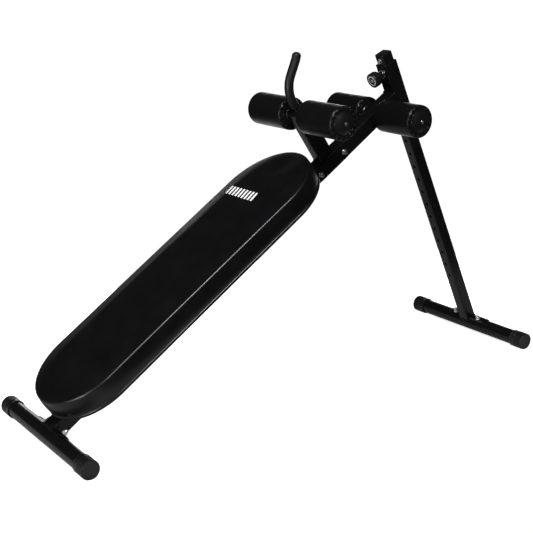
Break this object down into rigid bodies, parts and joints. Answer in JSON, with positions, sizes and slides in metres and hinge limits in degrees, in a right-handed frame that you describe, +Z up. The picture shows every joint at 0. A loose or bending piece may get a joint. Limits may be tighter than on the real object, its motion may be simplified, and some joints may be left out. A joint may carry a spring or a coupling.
{
  "type": "decline sit-up bench",
  "caption": "Sloping padded board on a square-tube beam, with foam leg rollers, a bent grab handle and a sliding rear leg that a spring pin locks at a row of holes.",
  "frame": {"origin": "on the floor, under the middle of the bench's overall length and width", "axes": "+X along the bench from the low foot to the raised end, +Y across it to the user's left when lying head down, +Z up"},
  "size_m": [1.709, 0.536, 1.0362],
  "materials": {
    "black_steel": "satin",
    "zinc": "satin",
    "spring_steel": "satin",
    "black_plastic": "satin",
    "black_foam": "matte",
    "black_grip": "satin",
    "black_vinyl": "satin",
    "board": "matte"
  },
  "bodies": {
    "frame": {"lower_beam": "black_steel", "upper_beam": "black_steel", "joint_plate_near": "black_steel", "joint_plate_far": "black_steel", "knee_post": "black_steel", "knee_crossbar": "black_steel", "foot_crossbar": "black_steel", "handle_tube": "black_steel", "adjust_sleeve": "black_steel", "low_foot_tube": "black_steel", "low_foot_saddle": "black_steel", "pad_bracket_low": "black_steel", "pad_bracket_high": "black_steel", "joint_bolt_low": "zinc", "joint_bolt_high": "zinc", "joint_nut_low": "zinc", "joint_nut_high": "zinc", "plunger_housing": "zinc", "low_foot_bolt_near": "zinc", "low_foot_nut_near": "zinc", "low_foot_cap_near": "black_plastic", "low_foot_bolt_far": "zinc", "low_foot_nut_far": "zinc", "low_foot_cap_far": "black_plastic", "pad_screw_low_near": "zinc", "pad_screw_low_far": "zinc", "pad_screw_high_near": "zinc", "pad_screw_high_far": "zinc", "sleeve_bush_upper": "black_plastic", "sleeve_bush_lower": "black_plastic", "plunger_spring": "spring_steel", "handle_grip": "black_grip", "pad_cushion": "black_vinyl", "pad_board": "board"},
    "leg": {"leg_tube": "black_steel", "leg_end_cap": "black_plastic", "stop_bolt": "zinc", "rear_foot_tube": "black_steel", "rear_foot_saddle": "black_steel", "rear_foot_cap_near": "black_plastic", "rear_foot_cap_far": "black_plastic", "rear_foot_bolt_near": "zinc", "rear_foot_bolt_far": "zinc", "rear_foot_nut_near": "zinc", "rear_foot_nut_far": "zinc"},
    "plunger": {"plunger_pin": "zinc", "plunger_knob": "black_plastic"},
    "knee_roller_near": {"knee_roller_near_foam": "black_foam", "knee_roller_near_inner_cap": "black_plastic", "knee_roller_near_outer_cap": "black_plastic"},
    "knee_roller_far": {"knee_roller_far_foam": "black_foam", "knee_roller_far_inner_cap": "black_plastic", "knee_roller_far_outer_cap": "black_plastic"},
    "foot_roller_near": {"foot_roller_near_foam": "black_foam", "foot_roller_near_inner_cap": "black_plastic", "foot_roller_near_outer_cap": "black_plastic"},
    "foot_roller_far": {"foot_roller_far_foam": "black_foam", "foot_roller_far_inner_cap": "black_plastic", "foot_roller_far_outer_cap": "black_plastic"}
  },
  "joints": [
    {"name": "leg_slide", "type": "slide", "parent": "frame", "child": "leg", "axis": [-0.4098, 0, 0.9122], "range_m": [0, 0.6]},
    {"name": "plunger_pull", "type": "slide", "parent": "frame", "child": "plunger", "axis": [-0.9122, 0, -0.4098], "range_m": [0, 0.01], "stiffness_N_per_m": 800, "springref_m": -0.012, "deforming": ["plunger_spring"]},
    {"name": "knee_roller_near_spin", "type": "hinge", "parent": "frame", "child": "knee_roller_near", "pos_m": [0.05747, 0, 0.84496], "axis": [0, 1, 0], "continuous": true},
    {"name": "knee_roller_far_spin", "type": "hinge", "parent": "frame", "child": "knee_roller_far", "pos_m": [0.05747, 0, 0.84496], "axis": [0, 1, 0], "continuous": true},
    {"name": "foot_roller_near_spin", "type": "hinge", "parent": "frame", "child": "foot_roller_near", "pos_m": [0.3629, 0, 0.82141], "axis": [0, 1, 0], "continuous": true},
    {"name": "foot_roller_far_spin", "type": "hinge", "parent": "frame", "child": "foot_roller_far", "pos_m": [0.3629, 0, 0.82141], "axis": [0, 1, 0], "continuous": true}
  ]
}
